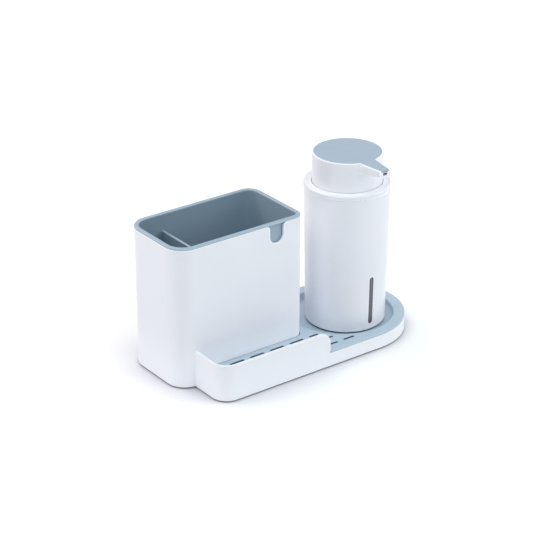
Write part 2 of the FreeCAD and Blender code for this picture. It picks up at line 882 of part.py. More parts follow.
def make_lid():
    spigot = sleeve_radius(DECK_UNDER) - S.sleeve_wall - S.spigot_gap
    well = spigot - S.spigot_wall
    bore = S.head_radius + S.head_bore_gap
    hole = S.barrel_radius + S.barrel_wall + S.barrel_hole_gap
    edge = S.sleeve_top_radius + S.lid_overhang
    shoulder = edge - S.lid_round
    turned(
        "collar_lid",
        (hole, DECK_UNDER),
        (spigot, DECK_UNDER),
        (spigot, LID_BOTTOM),
        (edge, LID_BOTTOM),
        (edge, LID_TOP - S.lid_round),
        (shoulder, LID_TOP, shoulder, LID_TOP - S.lid_round, 1),
        (bore, LID_TOP),
        (bore, LID_TOP - S.lid_lip),
        (well, LID_TOP - S.lid_lip),
        (well, DECK_TOP),
        (hole, DECK_TOP),
        (hole, DECK_UNDER),
    )
    rim = sleeve_radius(TANK_TOP) - S.sleeve_wall - S.tank_gap
    inner = rim - S.tank_wall - S.gasket_overlap
    washer("lid_gasket", inner, rim, DECK_UNDER - S.gasket_thickness, DECK_UNDER)
    washer("housing_gasket", hole, hole + S.flange_width - S.barrel_hole_gap, DECK_TOP, FLANGE_UNDER)


def washer(label, inner, outer, bottom, top):
    return turned(label, (inner, bottom), (outer, bottom), (outer, top), (inner, top), (inner, bottom))


def make_pump_housing():
    barrel = S.barrel_radius
    outer = barrel + S.barrel_wall
    flange = outer + S.flange_width
    chamber = S.ball_radius + S.ball_clearance
    chamber_outer = chamber + S.chamber_wall
    lip = S.ball_radius + S.ball_clearance - S.ball_lip
    socket = S.tube_radius + S.press_fit
    turned(
        "pump_housing",
        (socket, NIPPLE_END),
        (chamber_outer, NIPPLE_END),
        (chamber_outer, BARREL_FLOOR - S.barrel_wall * 2),
        (outer, BARREL_FLOOR),
        (outer, FLANGE_UNDER),
        (flange, FLANGE_UNDER),
        (flange, FLANGE_TOP),
        (barrel, FLANGE_TOP),
        (barrel, BARREL_FLOOR),
        (lip, BARREL_FLOOR),
        (lip, BARREL_FLOOR - S.ball_lip),
        (chamber, BARREL_FLOOR - S.ball_lip),
        (chamber, BALL_SEAT),
        (S.ball_seat_radius, BALL_SEAT),
        (S.ball_seat_radius, TUBE_TOP),
        (socket, TUBE_TOP),
        (socket, NIPPLE_END),
    )


def make_stem_guide():
    bore = S.stem_radius + S.guide_fit
    plug = S.barrel_radius - S.press_fit
    cap = S.barrel_radius + S.barrel_wall + S.flange_width - S.barrel_hole_gap
    tower = bore + S.guide_wall
    cap_top = FLANGE_TOP + S.guide_cap
    turned(
        "stem_guide",
        (bore, GUIDE_BOTTOM),
        (plug, GUIDE_BOTTOM),
        (plug, FLANGE_TOP),
        (cap, FLANGE_TOP),
        (cap, cap_top),
        (tower, cap_top),
        (tower, cap_top + S.guide_tower),
        (bore, cap_top + S.guide_tower),
        (bore, GUIDE_BOTTOM),
    )


def make_piston():
    bore = S.stem_radius + S.press_fit
    lip = S.barrel_radius - S.piston_fit
    waist = lip - S.piston_waist
    low, high = PISTON_BOTTOM + S.piston_lip, PISTON_TOP - S.piston_lip
    turned(
        "piston",
        (bore, PISTON_BOTTOM),
        (waist, PISTON_BOTTOM),
        (lip, PISTON_BOTTOM + S.piston_lip / 2),
        (waist, low),
        (waist, high),
        (lip, PISTON_TOP - S.piston_lip / 2),
        (waist, PISTON_TOP),
        (bore, PISTON_TOP),
        (bore, PISTON_BOTTOM),
    )


def make_piston_stem():
    turned(
        "piston_stem",
        (S.stem_bore, PISTON_BOTTOM),
        (S.stem_radius, PISTON_BOTTOM),
        (S.stem_radius, STEM_TOP),
        (S.stem_cup_radius, STEM_TOP),
        (S.stem_cup_radius, STEM_CUP),
        (S.stem_bore, STEM_CUP),
        (S.stem_bore, PISTON_BOTTOM),
    )


def make_ball(label, seat_height, seat_radius):
    """A check ball that rests on the rim of its seat's bore."""
    ball = doc.addObject("Part::Sphere", label)
    ball.setExpression("Radius", S.ball_radius.text)
    rise = root(S.ball_radius * S.ball_radius - seat_radius * seat_radius)
    ball.setExpression("Placement.Base.z", (seat_height + rise + S.ball_gap).text)
    nodes.append(on_bottle_axis(ball))


def make_dip_tube():
    end = TANK_FLOOR_TOP + S.tube_clear
    body = washer("dip_tube", S.tube_radius - S.tube_wall, S.tube_radius, end, TUBE_TOP)
    bevel = sketch_on(body, "tube_bevel", "XZ_Plane", -S.tube_radius - S.overrun)
    wide = S.tube_radius + S.overrun
    below = end - S.overrun
    outline(bevel, (-wide, below), (wide, below), (wide, end + wide), (-wide, end), (-wide, below))
    pocket(body, bevel, wide * 2, upward=True)


def biarc(start, start_way, end, end_way):
    """Two arcs that leave start along start_way and reach end along end_way."""
    span = end - start
    bend = 2 * (1 - start_way.dot(end_way))
    along = 2 * span.dot(start_way + end_way)
    reach = (math.sqrt(along * along + 4 * bend * span.dot(span)) - along) / (2 * bend)
    first_apex = start + start_way * reach
    last_apex = end - end_way * reach
    joint = (first_apex + last_apex) * 0.5
    return [tangent_arc(start, first_apex, joint), tangent_arc(joint, last_apex, end)]


def tangent_arc(start, apex, end):
    """The arc from start to end whose end tangents meet at the apex."""
    middle = (start + end) * 0.5
    half = (end - start).Length / 2
    height = (apex - middle).Length
    rise = half * math.tan(math.atan2(height, half) / 2)
    return Part.Arc(start, middle + (apex - middle) * (rise / height), end).toShape()


def make_return_spring():
    radius = S.spring_radius.value
    wire = S.spring_wire.value
    turns = int(S.spring_turns.value)
    bottom = (BARREL_FLOOR + S.spring_gap + S.spring_wire / 2).value
    top = (PISTON_BOTTOM - S.spring_gap - S.spring_wire / 2).value
    rise = (top - bottom) / turns

    def at(turn):
        angle = 2 * math.pi * turn
        return FreeCAD.Vector(radius * math.cos(angle), radius * math.sin(angle), bottom + rise * turn)

    def way(turn):
        angle = 2 * math.pi * turn
        along = FreeCAD.Vector(-math.sin(angle), math.cos(angle), rise / (2 * math.pi * radius))
        return along.normalize()

    quarters = [step / 4 for step in range(4 * turns + 1)]
    edges = []
    for begin, end in zip(quarters, quarters[1:]):
        edges += biarc(at(begin), way(begin), at(end), way(end))
    path = Part.Wire(edges)
    section = Part.Wire([Part.Circle(at(0), way(0), wire / 2).toShape()])
    spring = doc.addObject("Part::Feature", "return_spring")
    spring.Shape = path.makePipeShell([section], True, False)
    nodes.append(on_bottle_axis(spring))
    print(f"spring: least gap between turns {rise - wire:.2f} mm")


def spout_half_width(reach, inset=ZERO):
    """Half the spout's width at a distance from the head's axis, less an inset."""
    fall = (S.spout_root_width - S.spout_tip_width) / (S.spout_reach - S.head_radius) / 2
    return S.spout_tip_width / 2 + fall * (S.spout_reach - reach) - inset


def spout_plan(sketch, near, far, inset=ZERO):
    """The spout's tapered plan between two distances from the head's axis."""
    outline(
        sketch,
        (-spout_half_width(near, inset), -near),
        (-spout_half_width(far, inset), -far),
        (spout_half_width(far, inset), -far),
        (spout_half_width(near, inset), -near),
        (-spout_half_width(near, inset), -near),
    )


def flared_spout_plan(sketch, near):
    """The spout's plan from inside the drum to its tip, with a concave round where it leaves the drum."""
    flare = S.spout_root_round
    ring = S.head_radius - S.spout_root_bite + flare
    aside = S.spout_root_width / 2 + flare
    reach = root(ring * ring - aside * aside)
    centre = spout_half_width(reach) + flare
    distance = root(centre * centre + reach * reach)
    share = (distance - flare) / distance
    start_x, start_y = centre * share, reach * share
    side = centre - flare
    tip = S.spout_tip_width / 2
    outline(
        sketch,
        (-start_x, -near),
        (-start_x, -start_y),
        (-side, -reach, -centre, -reach, -1),
        (-tip, -S.spout_reach),
        (tip, -S.spout_reach),
        (side, -reach),
        (start_x, -start_y, centre, -reach, -1),
        (start_x, -near),
        (-start_x, -near),
    )


def swing(thing):
    """Turn a piece of the head with the spout."""
    on_bottle_axis(thing)
    thing.Placement = FreeCAD.Placement(thing.Placement.Base, FreeCAD.Rotation(UP, S.spout_swing.value))
    thing.setExpression("Placement.Rotation.Angle", S.spout_swing.text)
    return thing


def make_pump_head():
    body = swing(new_body("pump_head"))
    root_z = HEAD_TOP - S.spout_root_height
    tip_z = HEAD_TOP - S.spout_tip_height

    spout = sketch_on(body, "spout_plan", "XY_Plane", root_z)
    flared_spout_plan(spout, S.elbow_radius)
    pad(body, spout, S.spout_root_height)

    wedge = sketch_on(body, "spout_underside", "YZ_Plane", -S.spout_root_width)
    beyond = -S.spout_reach - S.overrun
    below = root_z - S.overrun
    slope = (tip_z - root_z) / (S.spout_reach - S.head_radius)
    outline(
        wedge,
        (-S.head_radius, root_z),
        (-S.head_radius, below),
        (beyond, below),
        (beyond, tip_z + slope * S.overrun),
        (-S.head_radius, root_z),
    )
    pocket(body, wedge, S.spout_root_width * 2, upward=True)

    drum = sketch_on(body, "drum_profile", "XZ_Plane")
    rectangle(drum, ZERO, S.head_radius, HEAD_SKIRT, HEAD_TOP)
    revolve(body, drum)

    def top_edge(edge):
        return level_at(edge, HEAD_TOP)

    fillet(body, "head_soft_top", S.head_round, top_edge)

    inside = sketch_on(body, "drum_inside", "XZ_Plane")
    wall = S.head_radius - S.head_wall
    socket = S.elbow_radius + S.duct_fit
    boss = socket + S.boss_wall
    boss_bottom = ROOF_UNDER - S.boss_length
    below = HEAD_SKIRT - S.overrun
    outline(
        inside,
        (ZERO, below),
        (wall, below),
        (wall, ROOF_UNDER),
        (boss, ROOF_UNDER),
        (boss, boss_bottom),
        (socket, boss_bottom),
        (socket, HEAD_TOP),
        (ZERO, HEAD_TOP),
        (ZERO, below),
    )
    groove(body, inside)

    disc = sketch_on(body, "inlay_disc_seat", "XY_Plane", HEAD_TOP)
    circle(disc, ZERO, ZERO, S.head_radius - S.head_rim)
    pocket(body, disc, S.inlay_thickness)

    tongue = sketch_on(body, "inlay_tongue_seat", "XY_Plane", HEAD_TOP)
    spout_plan(tongue, S.elbow_radius, S.spout_reach + S.overrun, S.head_rim)
    pocket(body, tongue, S.inlay_thickness)

    channel = sketch_on(body, "duct_channel", "XY_Plane", INLAY_UNDER)
    half = S.duct_width / 2 + S.duct_fit
    rectangle(channel, -half, half, -S.spout_reach - S.overrun, ZERO)
    pocket(body, channel, S.duct_cover + S.duct_height + S.duct_fit)


def make_head_inlay():
    body = swing(new_body("head_inlay"))
    gap = S.inlay_gap
    disc = sketch_on(body, "inlay_disc", "XY_Plane", INLAY_UNDER)
    circle(disc, ZERO, ZERO, S.head_radius - S.head_rim - gap)
    pad(body, disc, S.inlay_thickness)
    tongue = sketch_on(body, "inlay_tongue", "XY_Plane", INLAY_UNDER)
    spout_plan(tongue, S.elbow_radius, S.spout_reach, S.head_rim + gap)
    pad(body, tongue, S.inlay_thickness)


def make_spout_pipe():
    """An elbow: a socket on the stem's top and a flat duct along the spout."""
    body = swing(new_body("spout_pipe"))
    elbow = sketch_on(body, "elbow_outline", "XY_Plane", STEM_TOP - S.elbow_length)
    circle(elbow, ZERO, ZERO, S.elbow_radius)
    pad(body, elbow, DUCT_TOP - STEM_TOP + S.elbow_length)

    duct = sketch_on(body, "duct_outline", "XY_Plane", DUCT_UNDER)
    half = S.duct_width / 2
    rectangle(duct, -half, half, -S.spout_reach, ZERO)
    pad(body, duct, S.duct_height)

    socket = sketch_on(body, "stem_socket", "XY_Plane", STEM_TOP - S.elbow_length)
    circle(socket, ZERO, ZERO, S.stem_radius + S.press_fit)
    pocket(body, socket, S.elbow_length, upward=True)

    passage = sketch_on(body, "passage", "XY_Plane", STEM_TOP)
    circle(passage, ZERO, ZERO, S.ball_seat_radius)
    pocket(body, passage, DUCT_TOP - S.duct_wall - STEM_TOP, upward=True)

    mouth = sketch_on(body, "duct_bore", "XZ_Plane", S.spout_reach)
    clear = half - S.duct_wall
    rectangle(mouth, -clear, clear, DUCT_UNDER + S.duct_wall, DUCT_TOP - S.duct_wall)
    pocket(body, mouth, S.spout_reach)


def check(label, thing):
    if "Invalid" in thing.State or "Error" in thing.State:
        raise RuntimeError(f"{label} failed: {thing.State}")


make_caddy_body()
make_rubber_feet()
make_drip_plate()
make_brush_liner()
make_bottle_sleeve()
make_level_window()
make_inner_tank()
make_lid()
make_pump_housing()
make_stem_guide()
make_piston()
make_piston_stem()
make_ball("inlet_ball", BALL_SEAT, S.ball_seat_radius)
make_ball("outlet_ball", STEM_CUP, S.stem_bore)
make_return_spring()
make_dip_tube()
make_pump_head()
make_head_inlay()
make_spout_pipe()
doc.recompute()

for thing in doc.Objects:
    check(thing.Label, thing)
for node in nodes:
    if node.Shape.isNull() or not node.Shape.isValid():
        raise RuntimeError(f"{node.Label} has no valid shape")

os.makedirs("parts", exist_ok=True)
for node in nodes:
    node.Shape.exportStep(f"parts/{node.Label}.step")
    print(f"{node.Label}: {len(node.Shape.Solids)} solid(s), {node.Shape.Volume:.0f} mm3")
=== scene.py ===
"""Looks of the soap pump caddy: moulded plastics, rubber, wire, studio light and the photograph's camera.

Metres, in the part's own frame: +Z up, the brush box at -X, the spout towards -Y.
"""
import bpy
import math
from mathutils import Matrix, Vector


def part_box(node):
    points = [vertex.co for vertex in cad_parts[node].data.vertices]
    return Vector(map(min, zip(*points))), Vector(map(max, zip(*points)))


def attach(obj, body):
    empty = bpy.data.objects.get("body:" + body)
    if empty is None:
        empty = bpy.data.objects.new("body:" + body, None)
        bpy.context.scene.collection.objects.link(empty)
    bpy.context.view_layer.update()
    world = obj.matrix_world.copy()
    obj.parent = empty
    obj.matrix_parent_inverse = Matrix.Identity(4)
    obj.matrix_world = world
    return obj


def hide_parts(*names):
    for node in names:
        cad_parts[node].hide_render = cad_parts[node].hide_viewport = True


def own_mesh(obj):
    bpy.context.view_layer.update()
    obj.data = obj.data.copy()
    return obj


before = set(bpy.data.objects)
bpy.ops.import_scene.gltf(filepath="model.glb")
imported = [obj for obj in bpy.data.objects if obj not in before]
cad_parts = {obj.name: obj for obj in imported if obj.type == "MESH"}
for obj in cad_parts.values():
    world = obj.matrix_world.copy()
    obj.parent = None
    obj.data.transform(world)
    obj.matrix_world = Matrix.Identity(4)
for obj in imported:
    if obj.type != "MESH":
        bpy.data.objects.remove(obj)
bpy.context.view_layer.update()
scene = bpy.context.scene

MM = 0.001

# camera of the photograph
CAMERA_PLACE = (-855.8 * MM, -1130.2 * MM, 747.0 * MM)
CAMERA_AZIMUTH = 36.693
CAMERA_ELEVATION = 25.532
CAMERA_LENS = 126.27
SENSOR_WIDTH = 36.0
CLIP_START, CLIP_END = 0.05, 50.0

# colours
WHOLE = (1.0, 1.0, 1.0)
WHITE = (0.814, 0.813, 0.847)
# painted highlight for the white's outer edges
WHITE_PAINTED_HIGHLIGHT = (0.98, 0.98, 0.985)
# the plate, the inlay and the liner are one blue-grey plastic; their colours differ as painted light and
# shade: the plate's lighter, the inlay's and the liner's darker
INLAY_GREY = (0.322, 0.415, 0.497)
PLATE_GREY = (0.465, 0.568, 0.660)
LINER_GREY = (0.300, 0.392, 0.472)
# painted highlight for the liner's outer edges
LINER_PAINTED_HIGHLIGHT = (0.46, 0.57, 0.66)
WINDOW_TINT = (0.126, 0.102, 0.134)
WINDOW_DARK = (0.120, 0.096, 0.138)
WINDOW_PAINTED_REFLECTION = (0.205, 0.178, 0.220)
TANK_TINT = (0.72, 0.76, 0.78)
NATURAL = (0.74, 0.76, 0.76)
SEAL_GREY = (0.12, 0.125, 0.135)
FOOT_BLACK = (0.035, 0.036, 0.040)
WIRE_STEEL = (0.52, 0.53, 0.55)
BALL_STEEL = (0.66, 0.67, 0.69)

# moulded plastics: their clouds, specks, gloss patches and grain
FLOW_CLOUDS = 60.0 * MM
SPECKS = 2.5 * MM
GLOSS_PATCHES = 9.0 * MM
SHELL_GRAIN = 0.35 * MM
FINE_GRAIN = 0.30 * MM
GRAIN_DEPTH_SHARE = 0.03
GRAIN_STRENGTH = 0.06
PLASTIC_TONES = (0.985, 1.015)
SPECK_TONE = 0.99
SPECK_LEVELS = (0.0, 0.25)
PLASTIC_GLOSS_SHARES = (0.92, 1.1)
PLASTIC_IOR = 1.5
COAT_ROUGHNESS = 0.12

# the radius of their soft edges, and the width of the painted highlight along them
SHELL_EDGE = 0.35 * MM
GREY_EDGE = 0.30 * MM
INLAY_EDGE = 0.25 * MM
NATURAL_EDGE = 0.15 * MM
PAINTED_HIGHLIGHT_WIDTH = 1.1 * MM

# the widest gap that gets painted shade, and the reach within which a sheltered place gets painted fill light
SHELL_GAP = 4.0 * MM
GREY_GAP = 8.0 * MM
NATURAL_GAP = 5.0 * MM
FILL_LIGHT_REACH = 60.0 * MM

# how open a place is, from 0 to 1, where each effect starts and where it ends
HIGHLIGHT_START, HIGHLIGHT_END = 0.92, 0.72
FILL_LIGHT_START, FILL_LIGHT_END = 0.92, 0.45
GAP_START, GAP_END = 0.48, 0.05
SHADOW_START, SHADOW_END = 0.93, 0.20

# the middle range of a noise, its usual detail and a finer one
NOISE_LOW, NOISE_HIGH = 0.3, 0.7
PLAIN_DETAIL, CLOUD_DETAIL, FINE_DETAIL = 2.0, 3.0, 4.0

# rays that look for edges and gaps
EDGE_SAMPLES = 6
GAP_SAMPLES = 8

# drip plate: painted shade on the walls of the drain slots, which lie outside the recess and inside the
# border
SLOT_PAINTED_SHADE = 0.16
SLOT_TOP, SLOT_DEEP = 0.10 * MM, 0.35 * MM
RECESS_RADIUS = 45.4 * MM
RECESS_TO_END = 55.5 * MM
RECESS_MARGIN = 1.0 * MM
SLOT_BORDER = 51.0 * MM
SLOT_FADE = 0.4 * MM

# liner: the painted shade of its inside at both ends, and where that starts below the rim and behind the
# front
LINER_SHADE_LEFT, LINER_SHADE_RIGHT = 0.80, 1.0
LINER_TOP, LINER_DEEP = 0.4 * MM, 1.2 * MM
LINER_FRONT = 3.2 * MM
LINER_FADE = 0.3 * MM

# level window: the painted reflection's edges from the middle line, and the dark foot as shares of the height
REFLECTION_LEFT = (-0.6 * MM, 0.2 * MM)
REFLECTION_RIGHT = (0.9 * MM, 0.3 * MM)
FOOT_SHARES = (0.19, 0.16)
WINDOW_SPECKS = 3.0 * MM
WINDOW_PATCHES = 4.0 * MM
WINDOW_WAVES = 5.0 * MM
WINDOW_WAVE_DEPTH = 0.03 * MM
WINDOW_WAVE_STRENGTH = 0.05
WINDOW_TONES = (0.9, 1.1)
WINDOW_GLOSS = (0.10, 0.18)
CLEAR_IOR = 1.49

# tank, rubber and steel: their patterns, tones and gloss
TANK_CLOUDS = 20.0 * MM
TANK_PATCHES = 6.0 * MM
TANK_WAVES = 10.0 * MM
TANK_WAVE_DEPTH = 0.05 * MM
TANK_WAVE_STRENGTH = 0.08
TANK_TONES = (0.97, 1.03)
RUBBER_BLOOM = 3.0 * MM
RUBBER_PATCHES = 1.2 * MM
RUBBER_PEBBLES = 0.5 * MM
PEBBLE_DEPTH = 0.05 * MM
PEBBLE_STRENGTH = 0.25
RUBBER_TONES = (0.85, 1.35)
RUBBER_GLOSS = (0.62, 0.82)
RUBBER_IOR = 1.52
DRAWING_MARKS = 0.4 * MM
STEEL_PATCHES = 0.8 * MM
MARK_DEPTH = 0.01 * MM
MARK_STRENGTH = 0.08
STEEL_TONES = (0.88, 1.08)
POLISH_GLOSS_SHARES = (0.8, 1.3)

# floor and surroundings
FLOOR_SIZE = 12.0
FLOOR_COLOUR = (0.90, 0.90, 0.91)
# the colour of the painted shadow near the object
FLOOR_PAINTED_SHADOW = (0.40, 0.40, 0.49)
FLOOR_GLOW = (0.20, 0.19, 0.16)
FLOOR_GLOW_FAR = (0.95, 0.95, 0.95)
FLOOR_NEAR, FLOOR_FAR = 0.35, 2.5
FLOOR_CLOUDS = 40.0 * MM
FLOOR_TONES = (0.995, 1.005)
SHADOW_REACH = 54.0 * MM
WORLD_COLOUR = (0.82, 0.875, 1.0)
WORLD_LEVEL = 0.305

# soft boxes: the turn from the front and the rise at which each stands, in degrees, its watts and its colour
SOFT_BOX_SIZE = 0.9
SOFT_BOX_DISTANCE = 1.7
SOFT_BOX_AIM = (0.0, 0.0, 60.0 * MM)
SOFT_BOXES = {
    "back_left_low": (-120, 14, 2.2, (1.0, 0.97, 0.93)),
    "left_low": (-72, 14, 2.8, (1.0, 0.98, 0.98)),
    "right_low": (50, 26, 10.2, (0.95, 1.0, 0.98)),
    "far_right_low": (85, 14, 1.6, (1.0, 0.98, 0.95)),
    "back_left_high": (-140, 48, 7.2, (1.0, 0.88, 0.82)),
    "left_high": (-90, 48, 3.6, (0.95, 1.0, 0.95)),
    "front_high": (-37, 48, 3.8, (0.75, 0.90, 1.0)),
    "right_high": (15, 48, 1.6, (1.0, 0.9, 0.8)),
    "back_high": (180, 48, 5.6, (0.90, 0.90, 1.0)),
    "top": (8, 66, 4.9, (0.85, 1.0, 1.0)),
}


def shade(colour, factor=1.0):
    """The colour made lighter or darker by a factor, as a socket value."""
    return (*[min(channel * factor, 1.0) for channel in colour], 1.0)


class Nodes:
    """A material's node tree, with short ways to add and link nodes."""

    def __init__(self, name):
        self.material = bpy.data.materials.new(name)
        self.material.use_nodes = True
        self.tree = self.material.node_tree
        self.shader = self.tree.nodes["Principled BSDF"]
        self.place = self.add("ShaderNodeTexCoord").outputs["Object"]

    def add(self, kind, **inputs):
        node = self.tree.nodes.new(kind)
        for name, value in inputs.items():
            self.set(node, name.replace("_", " "), value)
        return node

    def set(self, node, name, value):
        """Link or set the input that has this name or number."""
        if isinstance(value, bpy.types.NodeSocket):
            self.tree.links.new(value, node.inputs[name])
        else:
            node.inputs[name].default_value = value

    def axes(self):
        """The place's X, Y and Z."""
        return self.add("ShaderNodeSeparateXYZ", Vector=self.place).outputs

    def noise(self, feature, detail=PLAIN_DETAIL):
        """Noise whose features have this size in metres."""
        node = self.add("ShaderNodeTexNoise", Vector=self.place, Scale=1.0 / feature, Detail=detail)
        return node.outputs["Fac"]

    def ramp(self, value, start, end, low=0.0, high=1.0, smooth=False):
        """A value that goes from low to high while the given one goes from start to end."""
        node = self.add("ShaderNodeMapRange", Value=value)
        if smooth:
            node.interpolation_type = "SMOOTHSTEP"
        for name, limit in (("From Min", start), ("From Max", end), ("To Min", low), ("To Max", high)):
            self.set(node, name, limit)
        return node.outputs["Result"]

    def spread(self, noise, low, high):
        """A value between low and high that follows a noise."""
        return self.ramp(noise, NOISE_LOW, NOISE_HIGH, low, high)

    def gloss(self, feature, roughness, shares):
        """Uneven gloss in patches of this size, between two shares of the roughness."""
        low, high = shares
        return self.spread(self.noise(feature), roughness * low, roughness * high)

    def mottled(self, colour, noise, tones):
        """The colour between two tones that follow a noise."""
        dark, light = tones
        return self.mix(noise, shade(colour, dark), shade(colour, light))

    def figure(self, operation, first, second):
        node = self.tree.nodes.new("ShaderNodeMath")
        node.operation = operation
        self.set(node, 0, first)
        self.set(node, 1, second)
        return node.outputs["Value"]

    def distance(self, place):
        """How far a place is from the origin."""
        node = self.add("ShaderNodeVectorMath", Vector=place)
        node.operation = "LENGTH"
        return node.outputs["Value"]

    def flat_distance(self, along, across):
        return self.distance(self.add("ShaderNodeCombineXYZ", X=along, Y=across).outputs["Vector"])

    def mix(self, factor, first, second, blend="MIX"):
        node = self.tree.nodes.new("ShaderNodeMix")
        node.data_type = "RGBA"
        node.blend_type = blend
        for number, value in ((0, factor), (6, first), (7, second)):
            self.set(node, number, value)
        return node.outputs[2]

    def product(self, first, second):
        return self.mix(1.0, first, second, "MULTIPLY")

    def bump(self, height, strength, distance, normal=None):
        node = self.add("ShaderNodeBump", Height=height, Strength=strength, Distance=distance)
        if normal is not None:
            self.set(node, "Normal", normal)
        return node.outputs["Normal"]

    def soft_edges(self, radius):
        node = self.add("ShaderNodeBevel", Radius=radius)
        node.samples = EDGE_SAMPLES
        return node.outputs["Normal"]

    def openness(self, reach, inside=False):
        """How open a place is within the reach: 1 on a flat face, less in a gap or, inside, at an edge."""
        node = self.add("ShaderNodeAmbientOcclusion", Distance=reach)
        node.samples = GAP_SAMPLES
        node.inside = inside
        node.only_local = inside
        return node.outputs["AO"]

    def painted_highlight(self, colour, bright):
        """The colour, with a painted highlight along the outer edges."""
        edge = self.ramp(self.openness(PAINTED_HIGHLIGHT_WIDTH, inside=True), HIGHLIGHT_START, HIGHLIGHT_END)
        return self.mix(edge, colour, bright)

    def painted_fill_light(self, colour, light):
        """The colour, lighter in sheltered places: painted light that fills the shade."""
        clear = self.ramp(self.openness(FILL_LIGHT_REACH), FILL_LIGHT_END, FILL_LIGHT_START)
        return self.mix(clear, light, colour)

    def painted_gap_shade(self, colour, gap, dark):
        """The colour, with painted shade where a narrow gap shuts out the light."""
        light = self.ramp(self.openness(gap), GAP_END, GAP_START, dark, 1.0, smooth=True)
        grey = self.add("ShaderNodeCombineColor", Red=light, Green=light, Blue=light)
        return self.product(colour, grey.outputs["Color"])

    def principled(self, **inputs):
        for name, value in inputs.items():
            self.set(self.shader, name.replace("_", " "), value)
        return self.material


def moulded_plastic(
    name, colour, roughness, grain, edge, gap, dark, coat=0.0, painted_light_tint=None, painted_fill=None, painted_highlight=None
):
    """Injection-moulded plastic: faint flow clouds, specks, uneven gloss, a fine tool grain and painted shade
    in gaps.
    """
    nodes = Nodes(name)
    specks = nodes.spread(nodes.noise(SPECKS), *SPECK_LEVELS)
    base = nodes.mottled(colour, nodes.noise(FLOW_CLOUDS, CLOUD_DETAIL), PLASTIC_TONES)
    base = nodes.mix(specks, base, shade(colour, SPECK_TONE))
    # painted shade from the given function, such as the slots' walls or the liner's inside
    if painted_light_tint:
        base = nodes.product(base, painted_light_tint(nodes))
    # painted fill light: lighter in sheltered places
    if painted_fill:
        base = nodes.painted_fill_light(base, shade(colour, painted_fill))
    # painted highlight along the outer edges
    if painted_highlight:
        base = nodes.painted_highlight(base, shade(painted_highlight))
    # painted shade in narrow gaps
    base = nodes.painted_gap_shade(base, gap, dark)
    gloss = nodes.gloss(GLOSS_PATCHES, roughness, PLASTIC_GLOSS_SHARES)
    normal = nodes.soft_edges(edge)
    normal = nodes.bump(nodes.noise(grain), GRAIN_STRENGTH, grain * GRAIN_DEPTH_SHARE, normal)
    return nodes.principled(
        Base_Color=base,
        Roughness=gloss,
        Normal=normal,
        IOR=PLASTIC_IOR,
        Coat_Weight=coat,
        Coat_Roughness=COAT_ROUGHNESS,
    )


def slot_painted_shade(nodes):
    """Painted shade on the walls of the drain slots, which lie below the plate's top."""
    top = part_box("drip_plate")[1].z
    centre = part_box("caddy_body")[1].x - RECESS_TO_END
    recess = RECESS_RADIUS + RECESS_MARGIN
    axes = nodes.axes()
    along = nodes.figure("SUBTRACT", axes["X"], centre)
    beyond = nodes.figure("MAXIMUM", along, 0.0)
    below = nodes.ramp(axes["Z"], top - SLOT_TOP, top - SLOT_DEEP)
    outside = nodes.ramp(nodes.flat_distance(along, axes["Y"]), recess, recess + SLOT_FADE)
    inside = nodes.ramp(nodes.flat_distance(beyond, axes["Y"]), SLOT_BORDER, SLOT_BORDER - SLOT_FADE)
    within = nodes.figure("MULTIPLY", outside, inside)
    within = nodes.figure("MULTIPLY", within, below)
    return nodes.mix(within, shade(WHOLE), shade(WHOLE, SLOT_PAINTED_SHADE))


def liner_painted_shade(nodes):
    """Painted shade for the tub's inside, darker at its left end than at its right; the rim keeps its colour.
    """
    low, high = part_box("brush_liner")
    front = low.y + LINER_FRONT
    axes = nodes.axes()
    along = nodes.ramp(axes["X"], low.x, high.x)
    inside = nodes.mix(along, shade(WHOLE, LINER_SHADE_LEFT), shade(WHOLE, LINER_SHADE_RIGHT))
    below = nodes.ramp(axes["Z"], high.z - LINER_TOP, high.z - LINER_DEEP)
    behind = nodes.ramp(axes["Y"], front, front + LINER_FADE)
    return nodes.mix(nodes.figure("MULTIPLY", below, behind), shade(WHOLE), inside)


def clear_plastic(name, colour, transmission, roughness):
    """Polished clear plastic with a slight unevenness."""
    nodes = Nodes(name)
    base = nodes.mottled(colour, nodes.noise(TANK_CLOUDS), TANK_TONES)
    gloss = nodes.gloss(TANK_PATCHES, roughness, POLISH_GLOSS_SHARES)
    normal = nodes.bump(nodes.noise(TANK_WAVES), TANK_WAVE_STRENGTH, TANK_WAVE_DEPTH)
    return nodes.principled(
        Base_Color=base, Roughness=gloss, Normal=normal, IOR=CLEAR_IOR, Transmission_Weight=transmission
    )


def window_plastic(name):
    """The level strip: smoky, with a painted reflection as a lighter streak down its middle, and a darker
    foot.
    """
    nodes = Nodes(name)
    low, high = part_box("level_window")
    middle = (low.x + high.x) / 2
    axes = nodes.axes()
    left, right = [
        nodes.ramp(axes["X"], middle + start, middle + end, smooth=True)
        for start, end in (REFLECTION_LEFT, REFLECTION_RIGHT)
    ]
    start, end = [low.z + share * (high.z - low.z) for share in FOOT_SHARES]
    foot = nodes.ramp(axes["Z"], start, end, smooth=True)
    painted_light_tint = nodes.mottled(WINDOW_TINT, nodes.noise(WINDOW_SPECKS), WINDOW_TONES)
    # painted reflection: a lighter streak down the middle
    painted_light_tint = nodes.mix(nodes.figure("MULTIPLY", left, right), painted_light_tint, shade(WINDOW_PAINTED_REFLECTION))
    painted_light_tint = nodes.mix(foot, painted_light_tint, shade(WINDOW_DARK))
    gloss = nodes.spread(nodes.noise(WINDOW_PATCHES), *WINDOW_GLOSS)
    normal = nodes.bump(nodes.noise(WINDOW_WAVES), WINDOW_WAVE_STRENGTH, WINDOW_WAVE_DEPTH)
    return nodes.principled(Base_Color=painted_light_tint, Roughness=gloss, Normal=normal, IOR=CLEAR_IOR)


